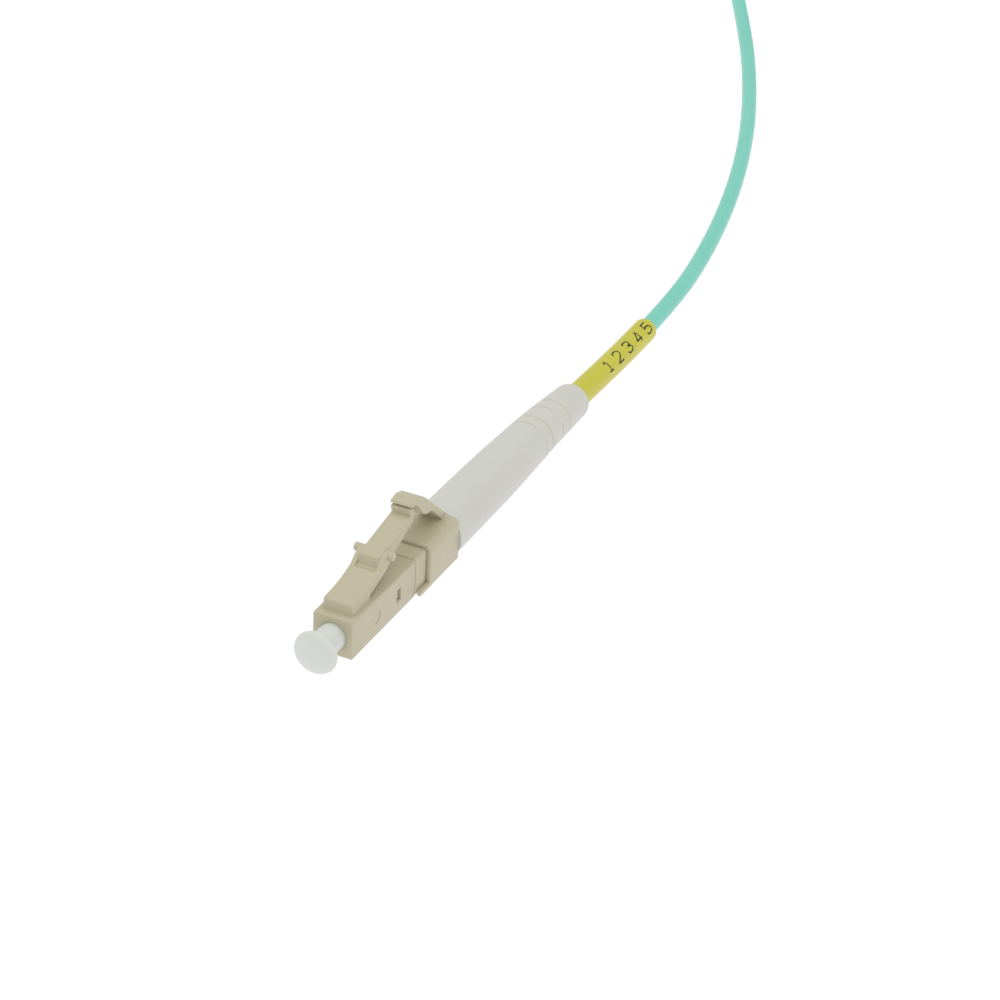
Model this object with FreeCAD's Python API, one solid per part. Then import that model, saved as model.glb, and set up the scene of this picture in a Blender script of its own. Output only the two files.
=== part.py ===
import FreeCAD, Part
import math
import os

# Simplex LC fibre plug on a 2 mm round pigtail, in millimetres.
# +X is the mating direction, +Z the latch side, and the origin is the centre
# of the plug's front face, on the optical axis. Places behind that face are
# given as distances back, so their X is negative.

V = FreeCAD.Vector
ALONG_X = V(1, 0, 0)
ALONG_Y = V(0, 1, 0)

# ---- clearances ----
RUN_FIT = 0.04          # radial, between pieces that slide on each other
SEAT_FIT = 0.05         # between fixed pieces that are slipped together
FACE_GAP = 0.03         # between end faces that butt

# ---- front housing (plug) ----
PLUG_W = 4.5
PLUG_H = 4.42
PLUG_LENGTH = 13.6
PLUG_EDGE = 0.16
NOSE_BORE_R = 1.52
NOSE_BORE_DEPTH = 2.8
SEAT_WALL = 1.0
SEAT_HOLE_R = 0.98
CAVITY_W = 3.44
CAVITY_EDGE = 0.3
WINDOW_BACK = 9.5
WINDOW_LENGTH = 0.9
WINDOW_H = 1.5
MOULD_MARK_BACK = 5.25
MOULD_MARK_R = 0.98
MOULD_MARK_DEPTH = 0.07

# ---- latch ----
LATCH_ROOT_BACK = 1.05
LATCH_ROOT_RISE = 1.22
LATCH_ROOT_W = 3.34
LATCH_FLEX_BACK = 4.75
LATCH_FLEX_T = 1.12
LATCH_FLEX_RISE = 0.52
LUG_SPAN = 4.5
LUG_BACK = 8.62
LUG_RISE = 3.02
LUG_R = 0.46
STEP_BACK = 7.15
STEP_W = 2.3
STEP_LEDGE = 0.65
TAIL_BACK = 14.3
TAIL_W = 2.3
TAIL_TOP_RISE = 5.33
TAIL_T = 0.66

# ---- rear body ----
BODY_VISIBLE = 2.35
BODY_EDGE = 0.35
BODY_TONGUE = 6.0
TAB_SUNK = 0.28
TAB_PLAY = 0.15
SPRING_POCKET_R = 1.32
FIBRE_BORE_R = 0.76
BARREL_R = 1.5
BARREL_LENGTH = 6.1
BARREL_GROOVE = 0.12
BARREL_GROOVES = 6

# ---- trigger collar and trigger ----
COLLAR_W = 5.56
COLLAR_LENGTH = 6.5
COLLAR_TOP_WALL = 0.46
COLLAR_EDGE_R = 0.8
COLLAR_MOUTH_R = 0.2
COLLAR_REAR_WALL = 0.55
COLLAR_LIP = 0.3
COLLAR_LIP_H = 0.45
RAIL_LENGTH = 2.05
RAIL_H = 0.55
RAIL_EDGE = 0.06
TRIGGER_W = 2.5
TRIGGER_TIP_BACK = 14.15
TRIGGER_TIP_RISE = 5.59
TRIGGER_TOP_RISE = 6.07
TRIGGER_ROOT_T = 0.75
TRIGGER_BEND_R = 0.8

# ---- ferrule, flange and spring ----
FERRULE_R = 0.6245
FERRULE_TIP = 1.55
FERRULE_LENGTH = 6.5
FERRULE_CHAMFER = 0.2
CAPILLARY_R = 0.075
CLADDING_R = 0.0625
FLANGE_FLATS = 2.5
FLANGE_LENGTH = 1.8
FLANGE_NOSE_R = 0.9
FLANGE_NOSE_LENGTH = 0.7
FLANGE_STEM_R = 0.85
FLANGE_STEM_LENGTH = 2.8
FERRULE_FLOAT = 0.6
SPRING_R = 1.25
SPRING_WIRE_R = 0.16
SPRING_TURNS = 7.0

# ---- dust cap ----
CAP_SKIRT_IN = 2.0
CAP_WAIST_X = 2.15
CAP_WAIST_R = 1.36
CAP_RIM_X = 3.45
CAP_RIM_R = 2.38
CAP_DOME = 0.8
CAP_GATE_R = 0.3
CAP_BORE_END = 0.35

# ---- cable, fibre, tube, yarn and crimp ----
CABLE_R = 1.03
JACKET_BORE_R = 0.72
BUFFER_R = 0.45
GUIDE_TUBE_R = 0.7
GUIDE_TUBE_BORE_R = 0.52
YARN_T = 0.17
CRIMP_WALL = 0.3
CRIMP_NECK_LENGTH = 3.4
CRIMP_CONE = 0.8

# ---- boot ----
BOOT_LENGTH = 34.4
BOOT_BASE_R = 3.07
BOOT_SHOULDER_R = 2.95
BOOT_SHOULDER_BACK = 14.0
BOOT_TIP_R = 2.2
BOOT_TIP_ROUND = 0.95
BOOT_MOUTH_DEPTH = 3.0
SLIT_W = 0.16
SLIT_DEPTH = 0.32
SLIT_BRIDGE_DEG = 38.0
SLIT_LEAN_DEG = 45.0
SLIT_FROM_TIP = (5.85, 7.85, 10.75, 12.45)

# ---- marker sleeve ----
SLEEVE_R = 1.46
SLEEVE_WALL = 0.22
SLEEVE_VISIBLE = 21.75
SLEEVE_IN_BOOT = 1.5
SLEEVE_ROUND = 0.12

# ---- coil ----
COIL_R = 12.0
COIL_ACROSS = 4
COIL_HIGH = 3
COIL_CENTRE = (-215.22, -29.84)
TIE_W = 1.6
TIE_T = 0.3
TIE_ANGLES = (60.0, 240.0)

# Where the pieces follow one another along the axis (X values).
seat_wall_x = -NOSE_BORE_DEPTH
flange_x = seat_wall_x - SEAT_WALL
ferrule_rear_x = FERRULE_TIP - FERRULE_LENGTH
spring_front_x = flange_x - FLANGE_LENGTH
seam_x = -PLUG_LENGTH
tongue_x = seam_x + BODY_TONGUE
collar_x = seam_x - BODY_VISIBLE
collar_rear_x = collar_x - COLLAR_LENGTH
body_rear_x = collar_rear_x + COLLAR_REAR_WALL + FACE_GAP
barrel_rear_x = body_rear_x - BARREL_LENGTH
boot_x = collar_rear_x - FACE_GAP
boot_tip_x = collar_rear_x - BOOT_LENGTH
spring_rear_x = tongue_x - 4.2
exit_x = boot_tip_x

# Half sizes and heights that several pieces share.
plug_top = PLUG_H / 2
collar_inner_y = PLUG_W / 2 + SEAT_FIT
collar_inner_z = plug_top + SEAT_FIT
collar_top = collar_inner_z + COLLAR_TOP_WALL
floor_z = -BOOT_BASE_R
yarn_outer_r = BARREL_R + SEAT_FIT / 2 + YARN_T
crimp_bore_r = yarn_outer_r + SEAT_FIT / 2
crimp_r = crimp_bore_r + CRIMP_WALL
neck_bore_r = CABLE_R + SEAT_FIT
neck_r = neck_bore_r + CRIMP_WALL
crimp_x = body_rear_x - 4 * FACE_GAP
cone_x = barrel_rear_x - FACE_GAP
neck_x = cone_x - CRIMP_CONE
crimp_rear_x = neck_x - CRIMP_NECK_LENGTH
sleeve_bore_r = SLEEVE_R - SLEEVE_WALL
coil_half_w = COIL_ACROSS * CABLE_R
coil_height = 2 * CABLE_R * (1 + (COIL_HIGH - 1) * 0.9)

# The cable's way from the boot's mouth to the coil, chosen by hand.
CABLE_POINTS = [
    (-56.85, 0.0, 0.0),
    (-84.0, 0.5, -1.35),
    (-111.0, -3.9, -2.03),
    (-137.0, -10.4, -2.04),
    (-163.0, -20.3, -2.04),
    (-188.0, -32.2, -2.04),
    (-202.7, -40.2, -1.74),
]


def block(x0, x1, y0, y1, z0, z1):
    """A box between two corners."""
    low = V(min(x0, x1), min(y0, y1), min(z0, z1))
    return Part.makeBox(abs(x1 - x0), abs(y1 - y0), abs(z1 - z0), low)


def bar(x0, x1, width, z0, z1):
    """A box centred across the plug."""
    return block(x0, x1, -width / 2, width / 2, z0, z1)


def rod(radius, x0, x1):
    """A round bar along the axis."""
    return Part.makeCylinder(radius, abs(x1 - x0), V(min(x0, x1), 0, 0), ALONG_X)


def tube(outer, inner, x0, x1):
    """A round tube along the axis."""
    return rod(outer, x0, x1).cut(rod(inner, x0 - 1, x1 + 1) if x0 < x1 else rod(inner, x1 - 1, x0 + 1))


def outline_face(points, place):
    """A flat face whose outline has straight sides."""
    corners = [place(a, b) for a, b in points]
    return Part.Face(Part.makePolygon(corners + corners[:1]))


def side_plate(points, width, y_mid=0.0):
    """A plate cut to an outline seen from the side, of the given width."""
    face = outline_face(points, lambda x, z: V(x, y_mid - width / 2, z))
    return face.extrude(V(0, width, 0))


def plan_plate(points, z0, z1):
    """A plate cut to an outline seen from above."""
    face = outline_face(points, lambda x, y: V(x, y, z0))
    return face.extrude(V(0, 0, z1 - z0))


def turned(points):
    """A solid turned about the axis from (x, r) points."""
    face = outline_face(points, lambda x, r: V(x, 0, r))
    return face.revolve(V(0, 0, 0), ALONG_X, 360)


def edges_along(shape, direction, keep):
    """The straight edges that run along a direction and pass a test."""
    found = []
    for edge in shape.Edges:
        if not isinstance(edge.Curve, Part.Line):
            continue
        if abs(abs(edge.Curve.Direction.dot(direction)) - 1) > 1e-6:
            continue
        if keep(edge.CenterOfMass):
            found.append(edge)
    return found


def rounded(shape, radius, direction, keep=lambda middle: True):
    """The shape with its chosen straight edges rounded."""
    return shape.makeFillet(radius, edges_along(shape, direction, keep))


def rounded_bar(x0, x1, width, height, radius):
    """A rectangular bar along the axis with rounded long edges."""
    return rounded(bar(x0, x1, width, -height / 2, height / 2), radius, ALONG_X)


def front_housing():
    """The plug that enters the adapter, with the root of its latch."""
    body = rounded_bar(0, seam_x, PLUG_W, PLUG_H, PLUG_EDGE)
    front = [e for e in body.Edges if abs(e.CenterOfMass.x) < 1e-6]
    body = body.makeFillet(PLUG_EDGE * 0.8, front)
    cavity = rounded_bar(flange_x, seam_x - 1, CAVITY_W, CAVITY_W, CAVITY_EDGE)
    body = body.cut(rod(NOSE_BORE_R, seat_wall_x, 1))
    body = body.cut(rod(SEAT_HOLE_R, flange_x - 1, 0))
    body = body.cut(cavity)
    window_x = -WINDOW_BACK
    window = bar(window_x, window_x - WINDOW_LENGTH, PLUG_W + 1, -WINDOW_H / 2, WINDOW_H / 2)
    body = body.cut(window)
    mark_y = PLUG_W / 2 - MOULD_MARK_DEPTH
    for side in (1, -1):
        mark = Part.makeCylinder(MOULD_MARK_R, 1, V(-MOULD_MARK_BACK, side * mark_y, 0), V(0, side, 0))
        body = body.cut(mark)
    return body.fuse(latch_root()).removeSplitter()


def latch_root():
    """The block on the plug's top that the latch arm springs from."""
    foot = plug_top - PLUG_EDGE
    front = plug_top + LATCH_ROOT_RISE
    rear_low = plug_top + LATCH_FLEX_RISE
    rear_high = rear_low + LATCH_FLEX_T
    root = side_plate([
        (-LATCH_ROOT_BACK, foot),
        (-LATCH_ROOT_BACK, front),
        (-LATCH_ROOT_BACK - 2.5, front + 0.2),
        (-LATCH_FLEX_BACK, rear_high),
        (-LATCH_FLEX_BACK, rear_low),
        (-LATCH_FLEX_BACK + 0.1, plug_top),
        (-LATCH_FLEX_BACK + 0.1, foot),
    ], LATCH_ROOT_W)
    nose = edges_along(root, ALONG_Y, lambda m: abs(m.x + LATCH_ROOT_BACK) < 0.01 and m.z > plug_top)
    return root.makeFillet(0.18, nose)


def latch_arm():
    """The springy arm with its two lugs and the tail under the trigger."""
    flex_low = plug_top + LATCH_FLEX_RISE
    flex_high = flex_low + LATCH_FLEX_T
    lug_z = plug_top + LUG_RISE
    step_low = plug_top + 2.15
    step_high = step_low + 1.08
    tail_low = plug_top + 3.62
    tail_shelf = plug_top + 4.47
    tail_top = plug_top + TAIL_TOP_RISE

    strap = side_plate([
        (-LATCH_FLEX_BACK, flex_low),
        (-LATCH_FLEX_BACK, flex_high),
        (-6.6, plug_top + 2.2),
        (-7.4, plug_top + 2.85),
        (-LUG_BACK + 0.3, lug_z + LUG_R * 0.94),
        (-LUG_BACK - 0.35, lug_z),
        (-LUG_BACK - 0.3, lug_z - 0.9),
        (-LUG_BACK + 0.6, lug_z - 1.45),
    ], LATCH_ROOT_W)
    ears = Part.makeCylinder(LUG_R, LUG_SPAN, V(-LUG_BACK, -LUG_SPAN / 2, lug_z), ALONG_Y)
    ears = ears.makeFillet(0.15, [e for e in ears.Edges if abs(e.CenterOfMass.y) > LUG_SPAN / 2 - 0.01])
    notch = block(-STEP_BACK + STEP_LEDGE, -LUG_BACK - 1, -STEP_W / 2, STEP_W / 2, step_low, lug_z + 2)
    strap = strap.fuse(ears).cut(notch)

    spine = side_plate([
        (-STEP_BACK, step_low - 0.6),
        (-STEP_BACK, step_low),
        (-STEP_BACK - 0.25, step_high),
        (-TAIL_BACK, tail_shelf),
        (-TAIL_BACK + 0.25, tail_top),
        (-TAIL_BACK + 0.25 - TAIL_T, tail_top),
        (-TAIL_BACK - TAIL_T, tail_shelf),
        (-TAIL_BACK - 0.5, tail_low),
        (-10.9, plug_top + 2.1),
        (-9.0, plug_top + 1.7),
    ], STEP_W)
    plan = plan_plate([
        (-STEP_BACK + 0.1, STEP_W / 2),
        (-LUG_BACK - 0.6, STEP_W / 2),
        (-TAIL_BACK - 1, TAIL_W / 2),
        (-TAIL_BACK - 1, -TAIL_W / 2),
        (-LUG_BACK - 0.6, -STEP_W / 2),
        (-STEP_BACK + 0.1, -STEP_W / 2),
    ], 0, tail_top + 1)
    return strap.fuse(spine.common(plan)).removeSplitter()


def rear_body():
    """The extender: a tongue that snaps into the plug, and a crimp barrel."""
    tongue_w = CAVITY_W - 2 * SEAT_FIT
    body = rounded_bar(seam_x - FACE_GAP, body_rear_x, PLUG_W, PLUG_H, BODY_EDGE)
    tongue = rounded_bar(tongue_x, seam_x - 0.5, tongue_w, tongue_w, CAVITY_EDGE)
    body = body.fuse(tongue)
    tab_x = -WINDOW_BACK - SEAT_FIT
    tab_rear_x = -WINDOW_BACK - WINDOW_LENGTH + SEAT_FIT
    tab_y = PLUG_W / 2 - TAB_SUNK
    tab_low = -WINDOW_H / 2 + TAB_PLAY
    for side in (1, -1):
        tab = block(tab_x, tab_rear_x, 0, side * tab_y, tab_low, WINDOW_H / 2 - SEAT_FIT)
        ramp = edges_along(tab, V(0, 0, 1), lambda m: m.x > tab_x - 0.01 and abs(m.y) > 0.1)
        body = body.fuse(tab.makeChamfer(TAB_SUNK, ramp))
    barrel = rod(BARREL_R, body_rear_x + 0.5, barrel_rear_x)
    pitch = (BARREL_LENGTH - 0.6) / BARREL_GROOVES
    for i in range(BARREL_GROOVES):
        x = body_rear_x - 0.6 - i * pitch
        ring = tube(BARREL_R + 1, BARREL_R - BARREL_GROOVE, x, x - pitch / 2)
        barrel = barrel.cut(ring)
    body = body.fuse(barrel)
    body = body.cut(rod(SPRING_POCKET_R, spring_rear_x, tongue_x + 1))
    body = body.cut(rod(FIBRE_BORE_R, barrel_rear_x - 1, tongue_x + 1))
    lip_y = collar_inner_y - COLLAR_LIP - SEAT_FIT
    for side in (1, -1):
        notch = block(collar_x - 0.4, body_rear_x - 1, side * lip_y, side * PLUG_W,
                      -PLUG_H, -plug_top + COLLAR_LIP_H + SEAT_FIT)
        body = body.cut(notch)
    return body.removeSplitter()


def trigger_collar():
    """The clip that snaps over the rear body, with the trigger's root."""
    height = collar_top + plug_top
    middle = (collar_top - plug_top) / 2
    shell = bar(collar_x, collar_rear_x, COLLAR_W, middle - height / 2, middle + height / 2)
    shell = rounded(shell, COLLAR_EDGE_R, ALONG_X, lambda m: m.z > 0)
    shell = rounded(shell, 0.15, ALONG_X, lambda m: m.z < 0)
    mouth = [e for e in shell.Edges if abs(e.CenterOfMass.x - collar_x) < 1e-6 and e.CenterOfMass.z > -plug_top + 0.1]
    shell = shell.makeFillet(COLLAR_MOUTH_R, mouth)
    channel = bar(collar_x + 1, collar_rear_x + COLLAR_REAR_WALL, 2 * collar_inner_y, -PLUG_H, collar_inner_z)
    channel = rounded(channel, BODY_EDGE, ALONG_X, lambda m: m.z > 0)
    shell = shell.cut(channel)
    shell = shell.cut(rod(crimp_r + 0.15, collar_rear_x - 1, body_rear_x + 1))
    shell = shell.cut(bar(collar_rear_x - 1, body_rear_x + 1, 2 * (crimp_r + 0.15), -PLUG_H, 0))
    for side in (1, -1):
        outer_y = side * COLLAR_W / 2
        rail = block(collar_x + RAIL_LENGTH, collar_x - 0.6, side * collar_inner_y, outer_y,
                     -plug_top, -plug_top + RAIL_H)
        rail = rounded(rail, RAIL_EDGE, ALONG_X, lambda m: abs(m.y) > COLLAR_W / 2 - 0.01)
        lip = block(collar_x - 0.45, body_rear_x + 0.1, side * (collar_inner_y - COLLAR_LIP), outer_y * 0.96,
                    -plug_top, -plug_top + COLLAR_LIP_H)
        shell = shell.fuse(rail).fuse(lip)
    return shell.fuse(trigger_root()).removeSplitter()


def trigger_flexure():
    """The two ends of the line where the trigger bends, and its way up."""
    rise = math.radians(42.5)
    low = V(collar_rear_x + 1.5, 0, plug_top + 0.94)
    across = V(-math.sin(rise), 0, math.cos(rise)) * TRIGGER_ROOT_T
    return low, low + across


def trigger_root():
    """The foot that joins the trigger to the collar's rear top edge."""
    low, high = trigger_flexure()
    foot = collar_top - 0.3
    return side_plate([
        (low.x, low.z),
        (high.x, high.z),
        (collar_rear_x + 0.25, collar_top + 0.12),
        (collar_rear_x + 0.1, foot),
        (low.x - 0.75, foot),
    ], TRIGGER_W)


def trigger_lever():
    """The lever that presses the latch's tail and guards it from snagging."""
    low, high = trigger_flexure()
    tip_low = plug_top + TRIGGER_TIP_RISE
    top = plug_top + TRIGGER_TOP_RISE
    tip_x = -TRIGGER_TIP_BACK
    lever = side_plate([
        (tip_x, tip_low),
        (tip_x - 0.1, tip_low + 0.25),
        (tip_x - 1.2, top),
        (tip_x - 2.58, top - 0.41),
        (tip_x - 3.64, top - 1.26),
        (high.x, high.z),
        (low.x, low.z),
        (-18.95, plug_top + 2.84),
        (-18.3, plug_top + 2.95),
        (-17.25, plug_top + 3.2),
        (-16.65, plug_top + 3.75),
        (-15.9, plug_top + 4.75),
        (-15.2, plug_top + 5.4),
    ], TRIGGER_W)
    underside = edges_along(lever, ALONG_Y, lambda m: -19.2 < m.x < -15.5 and m.z < plug_top + 4.9)
    return lever.makeFillet(TRIGGER_BEND_R, underside)


def dust_cap():
    """The soft cap: a skirt in the nose bore and a flared, domed head."""
    skirt_r = NOSE_BORE_R - SEAT_FIT
    bore_r = FERRULE_R + RUN_FIT
    inner_end = FERRULE_TIP + CAP_BORE_END
    rim_x = CAP_RIM_X
    points = [V(-CAP_SKIRT_IN, 0, bore_r), V(-CAP_SKIRT_IN, 0, skirt_r - 0.15),
              V(-CAP_SKIRT_IN + 0.3, 0, skirt_r), V(0.9, 0, skirt_r)]
    edges = [Part.makeLine(a, b) for a, b in zip(points, points[1:])]
    waist = V(CAP_WAIST_X, 0, CAP_WAIST_R)
    neck = V(1.4, 0, skirt_r - 0.06)
    rim_low = V(rim_x - 0.25, 0, CAP_RIM_R - 0.2)
    rim_high = V(rim_x + 0.15, 0, CAP_RIM_R - 0.05)
    edges.append(Part.Arc(points[-1], neck, waist).toShape())
    edges.append(Part.Arc(waist, V(rim_x - 0.62, 0, CAP_WAIST_R + 0.3), rim_low).toShape())
    edges.append(Part.Arc(rim_low, V(rim_x, 0, CAP_RIM_R), rim_high).toShape())
    nose_x = rim_x + CAP_DOME
    nose = V(nose_x, 0, CAP_GATE_R)
    dome_mid = V(rim_x + CAP_DOME * 0.78, 0, CAP_RIM_R * 0.54)
    edges.append(Part.Arc(rim_high, dome_mid, nose).toShape())
    edges.append(Part.makeLine(nose, V(nose_x, 0, 0)))
    edges.append(Part.makeLine(V(nose_x, 0, 0), V(inner_end, 0, 0)))
    edges.append(Part.makeLine(V(inner_end, 0, 0), V(inner_end, 0, bore_r)))
    edges.append(Part.makeLine(V(inner_end, 0, bore_r), points[0]))
    face = Part.Face(Part.Wire(edges))
    return face.revolve(V(0, 0, 0), ALONG_X, 360)


def ferrule():
    """The ceramic ferrule with its capillary and polished, chamfered tip."""
    c = FERRULE_CHAMFER
    tip = FERRULE_TIP
    rear = ferrule_rear_x
    return turned([
        (rear, CAPILLARY_R + 0.2),
        (rear, FERRULE_R - 0.08),
        (rear + 0.15, FERRULE_R),
        (tip - 0.5, FERRULE_R),
        (tip - 0.03, FERRULE_R - c),
        (tip, CAPILLARY_R),
        (rear + 0.5, CAPILLARY_R),
    ])


def glass_fibre():
    """The bare fibre in the ferrule's capillary."""
    return rod(CLADDING_R, ferrule_rear_x, FERRULE_TIP)


def ferrule_flange():
    """The metal holder pressed on the ferrule's rear end."""
    corner_r = FLANGE_FLATS / 2 / math.cos(math.radians(30))
    corners = []
    for i in range(6):
        a = math.radians(30 + 60 * i)
        corners.append(V(flange_x, corner_r * math.cos(a), corner_r * math.sin(a)))
    hexagon = Part.Face(Part.makePolygon(corners + corners[:1]))
    head = hexagon.extrude(V(-FLANGE_LENGTH, 0, 0))
    trim = turned([(flange_x + 0.01, 0), (flange_x + 0.01, FLANGE_FLATS / 2),
                   (flange_x - 0.3, corner_r + 0.02), (spring_front_x - 0.1, corner_r + 0.02),
                   (spring_front_x - 0.1, 0)])
    head = head.common(trim)
    nose = rod(FLANGE_NOSE_R, flange_x, flange_x + FLANGE_NOSE_LENGTH)
    stem = rod(FLANGE_STEM_R, spring_front_x, spring_front_x - FLANGE_STEM_LENGTH)
    body = head.fuse(nose).fuse(stem)
    body = body.cut(rod(FERRULE_R + 0.01, ferrule_rear_x, 0))
    body = body.cut(rod(BUFFER_R + SEAT_FIT, spring_front_x - FLANGE_STEM_LENGTH - 1, ferrule_rear_x + 0.01))
    return body.removeSplitter()


def ferrule_spring():
    """The compression spring behind the flange, with closed ends."""
    length = spring_front_x - spring_rear_x - 2 * (SPRING_WIRE_R + FACE_GAP)
    mean_r = SPRING_R - SPRING_WIRE_R
    pitch = length / SPRING_TURNS
    helix = Part.makeHelix(pitch, length, mean_r)
    start = Part.Wire(Part.makeCircle(SPRING_WIRE_R, V(mean_r, 0, 0), ALONG_Y))
    wire = Part.Wire(helix.Edges).makePipeShell([start], True, True)
    wire = Part.Solid(wire) if wire.ShapeType != "Solid" else wire
    wire.rotate(V(0, 0, 0), ALONG_Y, 90)
    wire.translate(V(spring_rear_x + SPRING_WIRE_R + FACE_GAP, 0, 0))
    return wire


def guide_tube():
    """The plastic tube that leads the buffered fibre through the barrel."""
    return tube(GUIDE_TUBE_R, GUIDE_TUBE_BORE_R, spring_rear_x - 0.3, barrel_rear_x)


def buffered_fibre():
    """The tight-buffered fibre from the ferrule to the boot's mouth."""
    return rod(BUFFER_R, ferrule_rear_x - FACE_GAP, exit_x + FERRULE_FLOAT + 0.3)


def aramid_yarn():
    """The strength yarn, spread over the barrel and drawn into the jacket."""
    inner = BARREL_R + SEAT_FIT / 2
    fan_x = cone_x - 0.1
    inside_r = BUFFER_R + 0.08
    outside_r = JACKET_BORE_R - 0.03
    return turned([
        (crimp_x, inner),
        (crimp_x, yarn_outer_r),
        (fan_x, yarn_outer_r),
        (neck_x - 0.05, outside_r),
        (crimp_rear_x, outside_r),
        (crimp_rear_x, inside_r),
        (neck_x, inside_r),
        (fan_x, inner),
    ])


def crimp_ring():
    """The metal crimp: wide on the barrel and yarn, narrow on the jacket."""
    return turned([
        (crimp_x, crimp_bore_r),
        (crimp_x, crimp_r),
        (cone_x, crimp_r),
        (neck_x, neck_r),
        (crimp_rear_x, neck_r),
        (crimp_rear_x, neck_bore_r),
        (neck_x - 0.1, neck_bore_r),
        (cone_x - 0.25, crimp_bore_r),
    ])


def jacket_end():
    """The jacket's end, from the crimp to the boot's mouth."""
    return tube(CABLE_R, JACKET_BORE_R, neck_x - 0.15, exit_x)


def boot():
    """The strain relief: a long taper, with slits that let its tip bend."""
    wide_r = crimp_r + 0.08
    narrow_r = neck_r + 0.08
    cable_r = CABLE_R + 0.1
    mouth_r = SLEEVE_R + 0.08
    mouth_x = boot_tip_x + BOOT_MOUTH_DEPTH
    shoulder_x = boot_x - BOOT_SHOULDER_BACK
    round_x = boot_tip_x + BOOT_TIP_ROUND
    base = V(boot_x, 0, BOOT_BASE_R)
    lip = V(boot_tip_x, 0, BOOT_TIP_R - BOOT_TIP_ROUND * 0.55)
    tip = V(round_x, 0, BOOT_TIP_R)
    shoulder = V(shoulder_x, 0, BOOT_SHOULDER_R)
    skin = Part.BSplineCurve()
    skin.interpolate([base, V(boot_x - 7, 0, BOOT_BASE_R - 0.04), shoulder,
                      V((shoulder_x + round_x) / 2, 0, (BOOT_SHOULDER_R + BOOT_TIP_R) / 2 + 0.06), tip])
    corner = V(boot_tip_x + BOOT_TIP_ROUND * 0.27, 0, BOOT_TIP_R - BOOT_TIP_ROUND * 0.16)
    tip_round = Part.Arc(tip, corner, lip).toShape()
    inner = [lip, V(boot_tip_x, 0, mouth_r), V(mouth_x, 0, mouth_r), V(mouth_x + 0.4, 0, cable_r),
             V(crimp_rear_x - 0.7, 0, cable_r), V(crimp_rear_x - 0.3, 0, narrow_r),
             V(neck_x - 0.1, 0, narrow_r), V(cone_x - 0.1, 0, wide_r), V(boot_x, 0, wide_r), base]
    edges = [skin.toShape(), tip_round]
    edges += [Part.makeLine(a, b) for a, b in zip(inner, inner[1:])]
    body = Part.Face(Part.Wire(edges)).revolve(V(0, 0, 0), ALONG_X, 360)
    for i, back in enumerate(SLIT_FROM_TIP):
        turn = SLIT_LEAN_DEG + (0 if i % 2 == 0 else 90)
        body = body.cut(slit_pair(boot_tip_x + back, turn))
    return body


def slit_pair(x, turn):
    """Two slits across the boot's skin, with a bridge between them."""
    reach = 180 - SLIT_BRIDGE_DEG
    grow = (BOOT_SHOULDER_R - BOOT_TIP_R) / (BOOT_LENGTH - BOOT_SHOULDER_BACK)
    skin_r = BOOT_TIP_R + grow * (x - boot_tip_x)
    pair = []
    for half in (0, 180):
        start = turn + half - reach / 2
        ring = Part.makeCylinder(skin_r + 1, SLIT_W, V(x - SLIT_W / 2, 0, 0), ALONG_X, reach)
        ring = ring.cut(rod(skin_r - SLIT_DEPTH, x - 1, x + 1))
        ring.rotate(V(x, 0, 0), ALONG_X, start + 90)
        pair.append(ring)
    return Part.makeCompound(pair)


def marker_sleeve():
    """The shrunk marker sleeve on the cable, drooping a little as it lies."""
    x0 = exit_x + SLEEVE_IN_BOOT
    x1 = exit_x - SLEEVE_VISIBLE
    sleeve = tube(SLEEVE_R, sleeve_bore_r, x0, x1)
    ends = [e for e in sleeve.Edges
            if isinstance(e.Curve, Part.Circle) and abs(e.Curve.Radius - SLEEVE_R) < 1e-6]
    sleeve = sleeve.makeFillet(SLEEVE_ROUND, ends)
    run = V(*CABLE_POINTS[1]) - V(*CABLE_POINTS[0])
    back = V(-1, 0, 0)
    sleeve.rotate(V(exit_x, 0, 0), back.cross(run), math.degrees(back.getAngle(run)))
    return sleeve


def cable():
    """The free cable: straight runs joined by arcs that touch them."""
    points = [V(*p) for p in CABLE_POINTS]
    edges = []
    here = points[0]
    for before, corner, after in zip(points, points[1:], points[2:]):
        into = corner - before
        out = after - corner
        turn = into.getAngle(out)
        reach = 0.45 * min(into.Length, out.Length)
        radius = reach / math.tan(turn / 2)
        print("cable turn %.1f deg, radius %.1f mm" % (math.degrees(turn), radius))
        a = corner - into.normalize() * reach
        b = corner + out.normalize() * reach
        bulge = (a + b) * 0.5 - corner
        centre = corner + bulge.normalize() * (radius / math.cos(turn / 2))
        crown = centre + (corner - centre).normalize() * radius
        edges.append(Part.makeLine(here, a))
        edges.append(Part.Arc(a, crown, b).toShape())
        here = b
    edges.append(Part.makeLine(here, points[-1]))
    path = Part.Wire(edges)
    length = path.Length
    start = Part.Wire(Part.makeCircle(CABLE_R, points[0], points[1] - points[0]))
    swept = path.makePipeShell([start], True, True)
    ideal = math.pi * CABLE_R ** 2 * length
    print("cable length %.1f mm, volume %.2f, section times length %.2f" % (length, swept.Volume, ideal))
    jacket_side = rod(2 * CABLE_R, exit_x, exit_x + 1)
    return swept.cut(jacket_side).cut(cable_coil())


def cable_coil():
    """The coil's outer shape, as one ring."""
    base = V(*COIL_CENTRE, floor_z + TIE_T)
    outer = Part.makeCylinder(COIL_R + coil_half_w, coil_height, base)
    ring = outer.cut(Part.makeCylinder(COIL_R - coil_half_w, coil_height, base))
    rims = [e for e in ring.Edges if isinstance(e.Curve, Part.Circle)]
    return ring.makeFillet(CABLE_R * 0.9, rims)


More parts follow.
